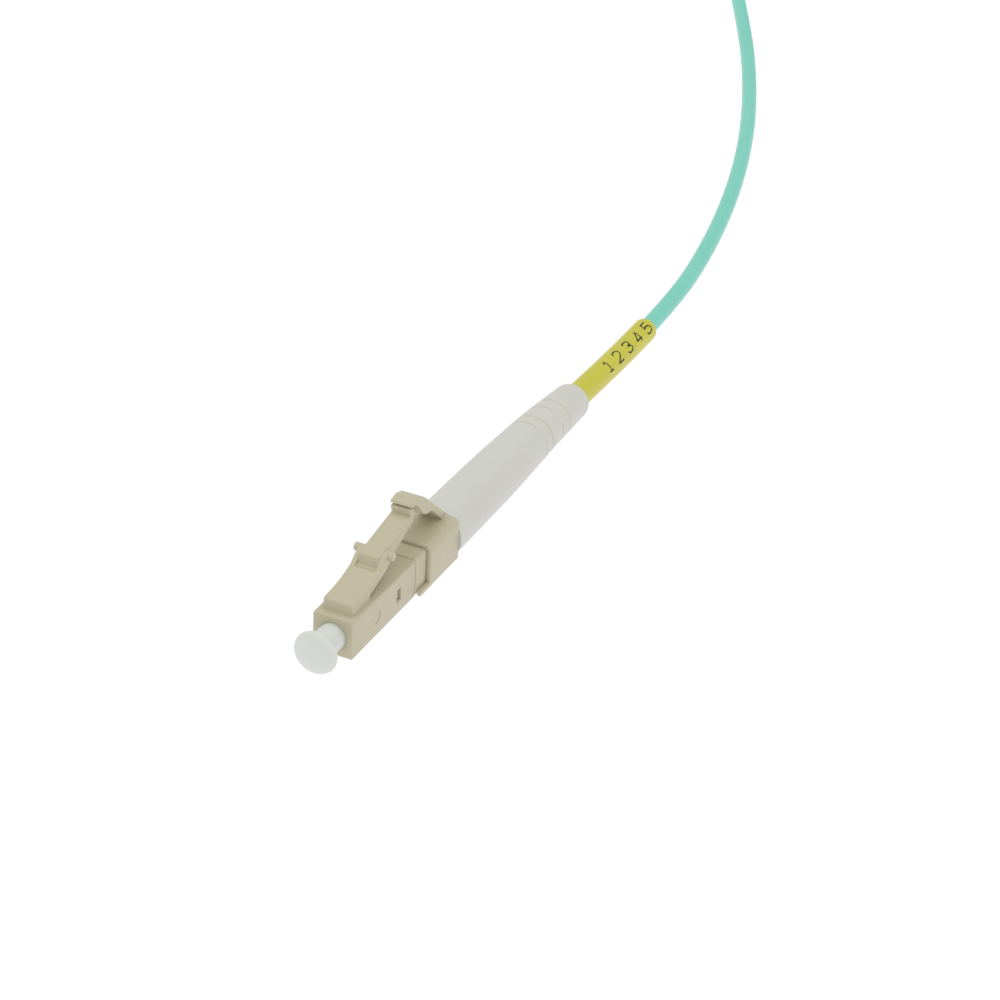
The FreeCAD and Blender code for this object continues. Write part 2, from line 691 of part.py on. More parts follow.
def coil_tie(angle):
    """A tie round the coil's section, under it as well as over it."""
    inside = COIL_R - coil_half_w - 2 * FACE_GAP
    width = 2 * (coil_half_w + 2 * FACE_GAP)
    height = coil_height + FACE_GAP
    band = Part.makeBox(width + 2 * TIE_T, TIE_W, height + 2 * TIE_T, V(inside - TIE_T, -TIE_W / 2, 0))
    hole = Part.makeBox(width, TIE_W + 2, height, V(inside, -TIE_W / 2 - 1, TIE_T))
    band = rounded(band, CABLE_R * 0.9, ALONG_Y).cut(rounded(hole, CABLE_R * 0.85, ALONG_Y))
    band.rotate(V(0, 0, 0), V(0, 0, 1), angle)
    band.translate(V(*COIL_CENTRE, floor_z))
    return band


def save(name, shape):
    """Write one node and say whether it is sound."""
    shape.exportStep(os.path.join("parts", name + ".step"))
    box = shape.BoundBox
    print("%-16s valid %s solids %d volume %9.3f x %.2f..%.2f y %.2f..%.2f z %.2f..%.2f" % (
        name, shape.isValid(), len(shape.Solids), shape.Volume,
        box.XMin, box.XMax, box.YMin, box.YMax, box.ZMin, box.ZMax))


os.makedirs("parts", exist_ok=True)
PIECES = {
    "dust_cap": dust_cap,
    "ferrule": ferrule,
    "glass_fibre": glass_fibre,
    "ferrule_flange": ferrule_flange,
    "ferrule_spring": ferrule_spring,
    "front_housing": front_housing,
    "latch_arm": latch_arm,
    "rear_body": rear_body,
    "trigger_collar": trigger_collar,
    "trigger_lever": trigger_lever,
    "guide_tube": guide_tube,
    "buffered_fibre": buffered_fibre,
    "aramid_yarn": aramid_yarn,
    "crimp_ring": crimp_ring,
    "jacket_end": jacket_end,
    "boot": boot,
    "marker_sleeve": marker_sleeve,
    "cable": cable,
    "cable_coil": cable_coil,
    "coil_tie_near": lambda: coil_tie(TIE_ANGLES[0]),
    "coil_tie_far": lambda: coil_tie(TIE_ANGLES[1]),
}
for name, make in PIECES.items():
    save(name, make())
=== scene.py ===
import math
import bmesh
import bpy
from mathutils import Matrix, Vector


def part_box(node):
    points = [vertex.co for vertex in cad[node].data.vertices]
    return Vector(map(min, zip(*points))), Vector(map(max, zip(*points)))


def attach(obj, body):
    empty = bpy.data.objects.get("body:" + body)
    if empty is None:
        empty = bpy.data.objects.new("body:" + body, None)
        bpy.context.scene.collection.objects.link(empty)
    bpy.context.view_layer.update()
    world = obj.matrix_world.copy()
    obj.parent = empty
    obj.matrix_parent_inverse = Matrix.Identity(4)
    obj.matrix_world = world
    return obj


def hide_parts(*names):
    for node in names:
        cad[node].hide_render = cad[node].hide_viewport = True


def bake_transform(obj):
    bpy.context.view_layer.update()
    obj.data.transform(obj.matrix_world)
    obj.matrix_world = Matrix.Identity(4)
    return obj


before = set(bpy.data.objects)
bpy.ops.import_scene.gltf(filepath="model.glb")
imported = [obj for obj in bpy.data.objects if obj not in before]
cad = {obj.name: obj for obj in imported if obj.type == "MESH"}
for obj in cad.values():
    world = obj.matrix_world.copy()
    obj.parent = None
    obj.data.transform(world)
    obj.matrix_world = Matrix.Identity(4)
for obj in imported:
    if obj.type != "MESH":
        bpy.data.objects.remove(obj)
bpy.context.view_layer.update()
scene = bpy.context.scene

# ---- Free cable ----
# A 2 mm simplex fibre cable: an extruded aqua jacket over yarn and one buffered
# fibre. It leaves the boot, sinks to the table and lies there in one loose bend,
# and the length that isn't in use is wound into a small coil.
CABLE_RADIUS = 0.00103
ROUTE = [
    (-0.05685, 0.00023, -0.00017),
    (-0.0840, 0.00021, -0.00134),
    (-0.1110, -0.0038, -0.00203),
    (-0.1370, -0.01044, -0.00204),
    (-0.1630, -0.02028, -0.00204),
    (-0.1880, -0.03227, -0.00204),
    (-0.2027, -0.0402, -0.00174),
]
COIL_CENTRE = Vector((-0.21522, -0.02984))
COIL_RADIUS = 0.0120
COIL_BASE = -0.00174
LAYER_RISE = 1.8 * CABLE_RADIUS
TURNS_ACROSS = 4
TURNS_IN_LAYERS = (TURNS_ACROSS, TURNS_ACROSS, 3)
POINTS_A_TURN = 24
COIL_START = math.radians(-61.45)


def linear(code):
    """A colour from its sRGB hex code, as Blender's linear values."""
    parts = [int(code[i:i + 2], 16) / 255 for i in (1, 3, 5)]
    return (*(p / 12.92 if p <= 0.04045 else ((p + 0.055) / 1.055) ** 2.4 for p in parts), 1.0)


def put(tree, kind, values=None, links=None):
    """One shader or geometry node with its settings, input values and links."""
    made = tree.nodes.new(kind)
    for name, value in (values or {}).items():
        if isinstance(name, str) and hasattr(made, name):
            setattr(made, name, value)
        else:
            made.inputs[name].default_value = value
    for name, source in (links or {}).items():
        tree.links.new(source, made.inputs[name])
    return made


def fresh_material(name):
    """An empty material, its tree and its output."""
    made = bpy.data.materials.new(name)
    made.use_nodes = True
    made.node_tree.nodes.clear()
    return made, made.node_tree, made.node_tree.nodes.new("ShaderNodeOutputMaterial")


def spots_of(millimetres):
    """The scale at which a texture's spots come out at a real size. The finest grains
    are too small to show, so they are drawn as coarse as they need to be."""
    return 1000 / millimetres


def satin_polymer(name, tints, drift, grain, relief, finish):
    """A satin polymer: two near tints that drift into each other under a fine grain.
    Drift and grain are each a size in millimetres and a level of detail."""
    made, tree, out = fresh_material(name)
    place = put(tree, "ShaderNodeTexCoord").outputs["Object"]
    slow = put(tree, "ShaderNodeTexNoise", {"Scale": spots_of(drift[0]), "Detail": drift[1]},
               {"Vector": place})
    fine = put(tree, "ShaderNodeTexNoise", {"Scale": spots_of(grain[0]), "Detail": grain[1]},
               {"Vector": place})
    tint = put(tree, "ShaderNodeMix", {"data_type": "RGBA", 6: linear(tints[0]), 7: linear(tints[1])},
               {0: slow.outputs["Fac"]})
    bump = put(tree, "ShaderNodeBump", {"Strength": relief, "Distance": 0.00001},
               {"Height": fine.outputs["Fac"]})
    skin = put(tree, "ShaderNodeBsdfPrincipled", {"Subsurface Radius": (1.0, 1.0, 1.0), **finish},
               {"Base Color": tint.outputs[2], "Normal": bump.outputs["Normal"]})
    tree.links.new(skin.outputs[0], out.inputs["Surface"])
    return made


def aqua_jacket():
    """PVC, extruded: satin, with slow colour drift and a faint skin from the die."""
    return satin_polymer("aqua_pvc_extruded", ("#7BD5C2", "#84DCCA"), (8.3, 2.0), (0.28, 2.0), 0.1,
                         {"Roughness": 0.42, "IOR": 1.52, "Subsurface Weight": 0.08,
                          "Subsurface Scale": 0.0003})


def coil_points():
    """The turns of the coil, layer on layer, each layer wound back across the last."""
    points = []
    for layer, count in enumerate(TURNS_IN_LAYERS):
        for place in range(count):
            inward = place if layer % 2 == 0 else TURNS_ACROSS - 1 - place
            radius = COIL_RADIUS + ((TURNS_ACROSS - 1) / 2 - inward) * 2 * CABLE_RADIUS
            for step in range(POINTS_A_TURN):
                angle = COIL_START - 2 * math.pi * step / POINTS_A_TURN
                spot = COIL_CENTRE + Vector((math.cos(angle), math.sin(angle))) * radius
                points.append((spot.x, spot.y, COIL_BASE + layer * LAYER_RISE))
    return points


def route_curve(name, points, radius):
    """One smooth NURBS line through its control polygon, with a round section."""
    line = bpy.data.curves.new(name, "CURVE")
    line.dimensions = "3D"
    line.resolution_u = 8
    line.bevel_depth = radius
    line.bevel_resolution = 8
    line.use_fill_caps = True
    spline = line.splines.new("NURBS")
    spline.points.add(len(points) - 1)
    for point, at in zip(spline.points, points):
        point.co = (*at, 1.0)
    spline.order_u = 3
    spline.use_endpoint_u = True
    made = bpy.data.objects.new(name, line)
    scene.collection.objects.link(made)
    return made


cable_points = ROUTE + coil_points()
cable = route_curve("cable_jacket", cable_points, CABLE_RADIUS)
cable.data.materials.append(aqua_jacket())
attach(cable, "plug")
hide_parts("cable", "cable_coil")


# ---- The cable's cut end ----
# Where the far end was cut square: the yarn's ends round the buffered fibre,
# just proud of the jacket.
CUT_TUCK = 0.0002
CUT_PROUD = 0.00006
CUT_SIDES = 32
CORE_SIDES = 16
SHELL_CREASE = 40
YARN_RADIUS = 0.00070
BUFFER_RADIUS = 0.00045
CORE_RADIUS = 0.0000625


def aramid():
    """Aramid yarn, cut: dull golden fibres, seen end on as fine speckle."""
    made, tree, out = fresh_material("aramid_yarn_cut")
    place = put(tree, "ShaderNodeTexCoord").outputs["Object"]
    ends = put(tree, "ShaderNodeTexVoronoi", {"Scale": spots_of(0.0625)}, {"Vector": place})
    tint = put(tree, "ShaderNodeMix", {"data_type": "RGBA", 6: linear("#C9A94C"), 7: linear("#E5CE83")},
               {0: ends.outputs["Distance"]})
    bump = put(tree, "ShaderNodeBump", {"Strength": 0.6, "Distance": 0.00002},
               {"Height": ends.outputs["Distance"]})
    skin = put(tree, "ShaderNodeBsdfPrincipled", {"Roughness": 0.8},
               {"Base Color": tint.outputs[2], "Normal": bump.outputs["Normal"]})
    tree.links.new(skin.outputs[0], out.inputs["Surface"])
    return made


def buffer_coat():
    """Nylon buffer, extruded on the fibre: smooth satin aqua."""
    made, tree, out = fresh_material("aqua_nylon_extruded")
    place = put(tree, "ShaderNodeTexCoord").outputs["Object"]
    drift = put(tree, "ShaderNodeTexNoise", {"Scale": spots_of(1.7), "Detail": 2.0}, {"Vector": place})
    tint = put(tree, "ShaderNodeMix", {"data_type": "RGBA", 6: linear("#6CC4B4"), 7: linear("#7FD3C3")},
               {0: drift.outputs["Fac"]})
    skin = put(tree, "ShaderNodeBsdfPrincipled", {"Roughness": 0.32, "IOR": 1.53},
               {"Base Color": tint.outputs[2]})
    tree.links.new(skin.outputs[0], out.inputs["Surface"])
    return made


def smooth_finish(name, spots, roughness, finish):
    """A smooth surface, whose shine varies a little over spots of a size in
    millimetres. Roughness is given as its least and its most."""
    made, tree, out = fresh_material(name)
    place = put(tree, "ShaderNodeTexCoord").outputs["Object"]
    faint = put(tree, "ShaderNodeTexNoise", {"Scale": spots_of(spots), "Detail": 2.0}, {"Vector": place})
    rough = put(tree, "ShaderNodeMapRange", {"To Min": roughness[0], "To Max": roughness[1]},
                {"Value": faint.outputs["Fac"]})
    skin = put(tree, "ShaderNodeBsdfPrincipled", finish, {"Roughness": rough.outputs["Result"]})
    tree.links.new(skin.outputs[0], out.inputs["Surface"])
    return made


def fused_silica():
    """Silica, drawn: clear glass with a clean polished end."""
    return smooth_finish("silica_glass_drawn", 0.11, (0.02, 0.06),
                         {"Base Color": linear("#E9F3F2"), "IOR": 1.458, "Transmission Weight": 0.6})


def shade(mesh, crease):
    """Smooth shading, but for creases where faces meet at more than so many degrees."""
    mesh.polygons.foreach_set("use_smooth", [True] * len(mesh.polygons))
    mesh.set_sharp_from_angle(angle=math.radians(crease))


def add_piece(mesh, name):
    """A new object from a closed mesh in the making, its faces turned outwards."""
    bmesh.ops.recalc_face_normals(mesh, faces=mesh.faces)
    made = bpy.data.meshes.new(name)
    mesh.to_mesh(made)
    mesh.free()
    thing = bpy.data.objects.new(name, made)
    scene.collection.objects.link(thing)
    return thing


def turned_shell(name, profile, sides, place=Matrix(), crease=SHELL_CREASE):
    """A closed shell turned about its own +X from (x, radius) points, then placed.
    A radius of zero at an end makes a closed pole there."""
    mesh = bmesh.new()
    rings = []
    for x, radius in profile:
        if radius == 0:
            rings.append([mesh.verts.new(place @ Vector((x, 0, 0)))] * sides)
            continue
        spots = [(x, radius * math.cos(2 * math.pi * i / sides), radius * math.sin(2 * math.pi * i / sides))
                 for i in range(sides)]
        rings.append([mesh.verts.new(place @ Vector(spot)) for spot in spots])
    closed = profile[0][1] > 0
    for ring, after in zip(rings, rings[1:] + (rings[:1] if closed else [])):
        for i in range(sides):
            j = (i + 1) % sides
            corners = []
            for corner in (ring[i], ring[j], after[j], after[i]):
                if corner not in corners:
                    corners.append(corner)
            mesh.faces.new(corners)
    made = add_piece(mesh, name)
    shade(made.data, crease)
    return made


end_point = Vector(cable_points[-1])
end_way = (end_point - Vector(cable_points[-2])).normalized()
end_place = Matrix.Translation(end_point) @ end_way.to_track_quat("X", "Z").to_matrix().to_4x4()


def cut_disc(name, radius, proud, sides):
    """One round part of the cut, from inside the jacket to a little past its end."""
    profile = [(-CUT_TUCK, 0), (-CUT_TUCK, radius), (proud, radius), (proud, 0)]
    return turned_shell(name, profile, sides, end_place)


cut_yarn = cut_disc("cut_yarn", YARN_RADIUS, CUT_PROUD, CUT_SIDES)
cut_buffer = cut_disc("cut_buffer", BUFFER_RADIUS, 2 * CUT_PROUD, CUT_SIDES)
cut_core = cut_disc("cut_core", CORE_RADIUS, 3 * CUT_PROUD, CORE_SIDES)
yarn_look = aramid()
buffer_look = buffer_coat()
glass_look = fused_silica()
for piece, look, slot in ((cut_yarn, yarn_look, "aramid"), (cut_buffer, buffer_look, "buffer_polymer"),
                          (cut_core, glass_look, "silica")):
    piece.data.materials.append(look)
    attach(piece, "plug")


# ---- Marker sleeve ----
# A yellow polyolefin sleeve shrunk over the cable, one end tucked into the
# boot's mouth, with plain counting digits printed round its upper side in black.
SLEEVE_RADIUS = 0.00146
SLEEVE_WALL = 0.00022
SLEEVE_LENGTH = 0.02160
SLEEVE_TUCK = 0.0015
SLEEVE_ROUND = 0.00019
SLEEVE_ROWS = 56
SLEEVE_SIDES = 96
TUBE_CREASE = 50
QUARTER_ROUND = ((0, 1), (0.04, 0.72), (0.29, 0.29), (0.72, 0.04), (1, 0))
DIGIT_HEIGHT = 0.00150
DIGIT_WIDTH = 0.00145
DIGIT_PITCH = 0.0030
DIGIT_STROKE = 0.00020
STROKE_STEP = 0.00012
WIDEST_MITRE = 2
DIGIT_FACING = math.radians(57)
DIGIT_END_MARGIN = 0.00180
INK_PROUD = 0.000006
DIGITS = {
    "1": [[(0.2, 0.78), (0.55, 1.0), (0.55, 0.0)], [(0.2, 0.0), (0.9, 0.0)]],
    "2": [[(0.0, 0.76), (0.1, 0.92), (0.35, 1.0), (0.7, 1.0), (0.95, 0.86), (0.98, 0.66), (0.8, 0.46),
           (0.0, 0.0), (1.0, 0.0)]],
    "3": [[(0.0, 0.84), (0.2, 0.97), (0.5, 1.0), (0.82, 0.95), (0.97, 0.78), (0.88, 0.6), (0.45, 0.53),
           (0.88, 0.45), (1.0, 0.24), (0.82, 0.05), (0.5, 0.0), (0.2, 0.03), (0.0, 0.17)]],
    "4": [[(0.76, 0.0), (0.76, 1.0), (0.0, 0.28), (1.0, 0.28)]],
    "5": [[(0.93, 1.0), (0.14, 1.0), (0.06, 0.55), (0.45, 0.64), (0.82, 0.58), (1.0, 0.36), (0.9, 0.12),
           (0.55, 0.0), (0.2, 0.02), (0.0, 0.14)]],
}


def plain_mesh(thing):
    """A plain mesh of what an object's curve or modifiers come to."""
    bpy.context.view_layer.update()
    return bpy.data.meshes.new_from_object(thing.evaluated_get(bpy.context.evaluated_depsgraph_get()))


def centre_line(points):
    """Points along a route's own NURBS line."""
    thread = route_curve("thread", points, 0.0)
    thread.data.resolution_u = 64
    shape = plain_mesh(thread)
    spots = [v.co.copy() for v in shape.vertices]
    bpy.data.objects.remove(thread)
    bpy.data.meshes.remove(shape)
    return spots


def along(spots, distance):
    """The place at a distance along a line of points, with its forward, side and up directions."""
    for a, b in zip(spots, spots[1:]):
        step = (b - a).length
        if distance <= step:
            break
        distance -= step
    way = (b - a).normalized()
    side = way.cross(Vector((0, 0, 1))).normalized()
    return a + way * distance, way, side, side.cross(way)


def yellow_sleeve():
    """Polyolefin film, shrunk: satin yellow, a little uneven where it drew in."""
    return satin_polymer("yellow_polyolefin_shrunk", ("#CBC737", "#D5D042"), (2.4, 3.0), (0.19, 2.0), 0.2,
                         {"Roughness": 0.38, "IOR": 1.5, "Subsurface Weight": 0.1,
                          "Subsurface Scale": 0.0002})


def black_ink():
    """Solvent ink, printed: near black and matt, a touch brown where it lies thin."""
    made, tree, out = fresh_material("black_ink_printed")
    place = put(tree, "ShaderNodeTexCoord").outputs["Object"]
    thin = put(tree, "ShaderNodeTexNoise", {"Scale": spots_of(0.2), "Detail": 3.0}, {"Vector": place})
    tint = put(tree, "ShaderNodeMix", {"data_type": "RGBA", 6: linear("#1C170A"), 7: linear("#2E2813")},
               {0: thin.outputs["Fac"]})
    skin = put(tree, "ShaderNodeBsdfPrincipled", {"Roughness": 0.6}, {"Base Color": tint.outputs[2]})
    tree.links.new(skin.outputs[0], out.inputs["Surface"])
    return made


def sleeve_shell(name, spots, profile, sides):
    """A closed tube that follows a line; profile gives (distance, radius) round its wall."""
    mesh = bmesh.new()
    rings = []
    for distance, radius in profile:
        at, way, side, up = along(spots, distance)
        ring = []
        for i in range(sides):
            a = 2 * math.pi * i / sides
            ring.append(mesh.verts.new(at + (side * math.cos(a) + up * math.sin(a)) * radius))
        rings.append(ring)
    for ring, after in zip(rings, rings[1:] + rings[:1]):
        for i in range(sides):
            j = (i + 1) % sides
            mesh.faces.new((ring[i], ring[j], after[j], after[i]))
    made = add_piece(mesh, name)
    shade(made.data, TUBE_CREASE)
    return made


def fine_line(stroke):
    """Close points along a digit's stroke, flat and round the digit's middle."""
    flat = [Vector(((x - 0.5) * DIGIT_WIDTH, (y - 0.5) * DIGIT_HEIGHT)) for x, y in stroke]
    line = []
    for a, b in zip(flat, flat[1:]):
        parts = max(1, round((b - a).length / STROKE_STEP))
        line += [a + (b - a) * (k / parts) for k in range(parts)]
    return line + flat[-1:]


def printed_strokes(name, spots):
    """The digits as thin raised strokes that follow the sleeve's round side."""
    mesh = bmesh.new()
    first = SLEEVE_TUCK + SLEEVE_LENGTH - DIGIT_END_MARGIN - (len(DIGITS) - 1) * DIGIT_PITCH
    for place, strokes in enumerate(DIGITS.values()):
        for stroke in strokes:
            line = fine_line(stroke)
            rows = []
            for k, spot in enumerate(line):
                into = (spot - line[k - 1]).normalized() if k else (line[1] - spot).normalized()
                out = (line[k + 1] - spot).normalized() if k < len(line) - 1 else into
                way = (into + out).normalized()
                across = Vector((-way.y, way.x)) * (DIGIT_STROKE / 2 / max(1 / WIDEST_MITRE, way.dot(into)))
                one, other = spot + across, spot - across
                row = []
                for corner, lift in ((one, 1), (other, 1), (other, -1), (one, -1)):
                    at, ahead, side, up = along(spots, first + place * DIGIT_PITCH + corner.x)
                    turn = DIGIT_FACING + corner.y / SLEEVE_RADIUS
                    radius = SLEEVE_RADIUS + lift * INK_PROUD
                    row.append(mesh.verts.new(at + (side * math.cos(turn) + up * math.sin(turn)) * radius))
                rows.append(row)
            for row, after in zip(rows, rows[1:]):
                for i in range(4):
                    j = (i + 1) % 4
                    mesh.faces.new((row[i], row[j], after[j], after[i]))
            mesh.faces.new(rows[0])
            mesh.faces.new(rows[-1])
    return add_piece(mesh, name)


back_way = (Vector(ROUTE[1]) - Vector(ROUTE[0])).normalized()
sleeve_line = [Vector(ROUTE[0]) - back_way * SLEEVE_TUCK] + centre_line(ROUTE)
sleeve_end = SLEEVE_TUCK + SLEEVE_LENGTH
rim = [(distance * SLEEVE_ROUND, cut * SLEEVE_ROUND) for distance, cut in QUARTER_ROUND]
straight = sleeve_end - 2 * SLEEVE_ROUND
wall = [(distance, SLEEVE_RADIUS - cut) for distance, cut in rim]
wall += [(SLEEVE_ROUND + straight * i / SLEEVE_ROWS, SLEEVE_RADIUS) for i in range(1, SLEEVE_ROWS)]
wall += [(sleeve_end - distance, SLEEVE_RADIUS - cut) for distance, cut in reversed(rim)]
lining = [(sleeve_end * i / SLEEVE_ROWS, SLEEVE_RADIUS - SLEEVE_WALL) for i in range(SLEEVE_ROWS, -1, -1)]
sleeve = sleeve_shell("marker_film", sleeve_line, wall + lining, SLEEVE_SIDES)
sleeve.data.materials.append(yellow_sleeve())
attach(sleeve, "plug")
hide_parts("marker_sleeve")
digits = printed_strokes("marker_digits", sleeve_line)
digits.data.materials.append(black_ink())
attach(digits, "plug")


# ---- Plug housing and extender ----
# Injection-moulded beige polymer with a fine matt grain. The same resin makes the
# plug with its latch, the body snapped in behind it and the clip with the trigger.
SAME_PLACE = 2e-6
CLOSE_BY = 2e-5
MERGED_WITHIN = 2e-7
FLAT_WITHIN = math.radians(0.7)
SHARP_CORNER = math.radians(32)
MOULDED_CREASE = 38
SOFT_EDGE = 0.00005
SEAM_EDGE = 0.00011
WIDEST_EDGE = 0.00019
CORNER_Y = 0.00225
CORNER_Z = 0.00221
LATCH_ROOT_X = -0.00475
SEAM_X = -0.0136
SEAM_REACH = 0.0001
SEAM_GAP = 0.00004
MARK_X = -0.00525
MARK_RADIUS = 0.00098
MARK_SCALE = 0.78
SIDE_Y = 0.002
OUTER_SHARE = 0.99


def beige_moulding():
    """Polyetherimide, moulded: warm beige, satin, with the mould's fine grain."""
    made, tree, out = fresh_material("beige_polyetherimide_moulded")
    place = put(tree, "ShaderNodeTexCoord").outputs["Object"]
    drift = put(tree, "ShaderNodeTexNoise", {"Scale": spots_of(3.8), "Detail": 3.0, "Roughness": 0.6},
                {"Vector": place})
    grain = put(tree, "ShaderNodeTexNoise", {"Scale": spots_of(0.14), "Detail": 3.0}, {"Vector": place})
    tint = put(tree, "ShaderNodeMix", {"data_type": "RGBA", 6: linear("#C1BB9E"), 7: linear("#C9C3A7")},
               {0: drift.outputs["Fac"]})
    rough = put(tree, "ShaderNodeMapRange", {"To Min": 0.42, "To Max": 0.56},
                {"Value": grain.outputs["Fac"]})
    bump = put(tree, "ShaderNodeBump", {"Strength": 0.35, "Distance": 0.000012},
               {"Height": grain.outputs["Fac"]})
    skin = put(tree, "ShaderNodeBsdfPrincipled",
               {"IOR": 1.58, "Subsurface Weight": 0.06, "Subsurface Scale": 0.0003,
                "Subsurface Radius": (1.0, 1.0, 1.0)},
               {"Base Color": tint.outputs[2], "Roughness": rough.outputs["Result"],
                "Normal": bump.outputs["Normal"]})
    tree.links.new(skin.outputs[0], out.inputs["Surface"])
    return made


def cad_shape(node):
    """A CAD node's mesh with its loose triangles merged into plain faces."""
    loose = cad[node].data.copy()
    if "custom_normal" in loose.attributes:
        loose.attributes.remove(loose.attributes["custom_normal"])
    shape = bmesh.new()
    shape.from_mesh(loose)
    bpy.data.meshes.remove(loose)
    bmesh.ops.remove_doubles(shape, verts=shape.verts, dist=MERGED_WITHIN)
    bmesh.ops.dissolve_limit(shape, angle_limit=FLAT_WITHIN, verts=shape.verts, edges=shape.edges)
    return shape


def soft_edged(shape, name, edge_width=lambda middle: SOFT_EDGE, bends=()):
    """A moulded piece from a shape, its corners softened as a mould leaves them.
    Bends are (point, direction) planes that give it more rows of points to bend at."""
    weight = shape.edges.layers.float.new("bevel_weight_edge")
    for edge in shape.edges:
        middle = (edge.verts[0].co + edge.verts[1].co) / 2
        sharp = len(edge.link_faces) == 2 and edge.calc_face_angle(0) > SHARP_CORNER
        edge[weight] = edge_width(middle) / WIDEST_EDGE if sharp else 0.0
    made = bpy.data.meshes.new(name)
    shape.to_mesh(made)
    shape.free()
    thing = bpy.data.objects.new(name, made)
    scene.collection.objects.link(thing)
    soften = thing.modifiers.new("mould_radius", "BEVEL")
    soften.width = WIDEST_EDGE
    soften.segments = 2
    soften.limit_method = "WEIGHT"
    soften.use_clamp_overlap = False
    final = plain_mesh(thing)
    thing.modifiers.clear()
    thing.data = final
    bpy.data.meshes.remove(made)
    shape = bmesh.new()
    shape.from_mesh(final)
    for point, way in bends:
        everything = list(shape.verts) + list(shape.edges) + list(shape.faces)
        bmesh.ops.bisect_plane(shape, geom=everything, plane_co=point, plane_no=way)
    bmesh.ops.recalc_face_normals(shape, faces=shape.faces)
    shape.to_mesh(final)
    shape.free()
    final.name = name
    final.update()
    shade(final, MOULDED_CREASE)
    return thing


beige = beige_moulding()


def in_resin(piece):
    """Gives a housing piece its resin and no other material."""
    piece.data.materials.clear()
    piece.data.materials.append(beige)


def moulded_piece(piece, body, node):
    """Gives a housing piece its resin and its body, in place of its CAD node."""
    in_resin(piece)
    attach(piece, body)
    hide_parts(node)


def latch_root_edge(middle):
    """No softening where the latch's arm goes on from its root."""
    return 0.0 if abs(middle.x - LATCH_ROOT_X) < SAME_PLACE else SOFT_EDGE


def long_edge(middle):
    """The widest softening, along the corners between the sides and the top."""
    along_corner = abs(abs(middle.y) - CORNER_Y) < CLOSE_BY and abs(middle.z - CORNER_Z) < CLOSE_BY
    return WIDEST_EDGE if along_corner else SOFT_EDGE


def plug_edge(middle):
    """Wider edges at the extender and round the plug's face, and crisp mould marks."""
    if math.hypot(middle.x - MARK_X, middle.z) < MARK_RADIUS and abs(middle.y) > SIDE_Y:
        return 0.0
    if abs(middle.x - SEAM_X) < SEAM_REACH:
        return SEAM_EDGE
    outer = max(abs(middle.y) / CORNER_Y, abs(middle.z) / CORNER_Z) > OUTER_SHARE
    if abs(middle.x) < SAME_PLACE and outer:
        return WIDEST_EDGE
    return latch_root_edge(middle) and long_edge(middle)


plug_shape = cad_shape("front_housing")
for vert in plug_shape.verts:
    from_mark = math.hypot(vert.co.x - MARK_X, vert.co.z)
    if abs(from_mark - MARK_RADIUS) < CLOSE_BY and abs(vert.co.y) > SIDE_Y:
        vert.co.x = MARK_X + (vert.co.x - MARK_X) * MARK_SCALE
        vert.co.z *= MARK_SCALE
    if abs(vert.co.x - SEAM_X) < SAME_PLACE:
        vert.co.x += SEAM_GAP
plug = soft_edged(plug_shape, "plug_moulding", plug_edge)
moulded_piece(plug, "plug", "front_housing")
extender = soft_edged(cad_shape("rear_body"), "extender_moulding", long_edge)
moulded_piece(extender, "plug", "rear_body")


# ---- Latch arm ----
# The springy arm, moulded in one with the plug: it bends where it leaves its
# root, carries the two lugs that hold the plug in and ends in the grip's tail.
LATCH_BEND_START = Vector((LATCH_ROOT_X, 0, 0.0033))
LATCH_BEND_END = Vector((-0.00675, 0, 0.0041))
LATCH_ROWS = 6

latch_way = LATCH_BEND_END - LATCH_BEND_START
latch_rows = [(LATCH_BEND_START.lerp(LATCH_BEND_END, t / LATCH_ROWS), latch_way)
              for t in range(1, LATCH_ROWS + 1)]
latch = soft_edged(cad_shape("latch_arm"), "latch_moulding", latch_root_edge, latch_rows)
in_resin(latch)
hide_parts("latch_arm")
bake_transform(latch)


# ---- Collar and trigger ----
# A clip that snaps over the extender, moulded in one with the trigger: a lever
# that bends at its foot, guards the latch's tail and presses it down.
TRIGGER_TILT = math.radians(42.5)
TRIGGER_THICKNESS = 0.00075
TRIGGER_LOW = Vector((-0.02095, 0, 0.00315))
TRIGGER_ACROSS = Vector((-math.sin(TRIGGER_TILT), 0, math.cos(TRIGGER_TILT)))
TRIGGER_WAY = Vector((TRIGGER_ACROSS.z, 0, -TRIGGER_ACROSS.x))
TRIGGER_HIGH = TRIGGER_LOW + TRIGGER_ACROSS * TRIGGER_THICKNESS
TRIGGER_BEND = 0.0012
TRIGGER_ROWS = 5
TRIGGER_WIDTH = 0.0025
TRIGGER_CORNERS = [
    (-0.01415, 0.0078, 0.00004), (-0.01425, 0.00805, 0.0001), (-0.01535, 0.00828, 0.0006),
    (-0.01673, 0.00787, 0.001), (-0.01779, 0.00702, 0.002), (TRIGGER_HIGH.x, TRIGGER_HIGH.z, 0),
    (TRIGGER_LOW.x, TRIGGER_LOW.z, 0), (-0.01895, 0.00505, 0.00045), (-0.01705, 0.00543, 0.0020),
    (-0.0159, 0.00696, 0.0012), (-0.0152, 0.00761, 0.0004),
]
ARC_STEP = math.radians(6)
FOOT_ABOVE_Z = 0.003
RAILS_BELOW_Z = -0.0016
PAD_WIDTH = 0.0032
PAD_THICKNESS = 0.0003
PAD_TOP_Z = 0.00282
PAD_LOW_Z = PAD_TOP_Z - PAD_THICKNESS
PAD_CORNERS = [(-0.0212, PAD_LOW_Z, 0), (-0.02128, PAD_TOP_Z, 0.00008), (-0.0224, PAD_TOP_Z, 0.00008),
               (-0.0224, PAD_LOW_Z, 0)]


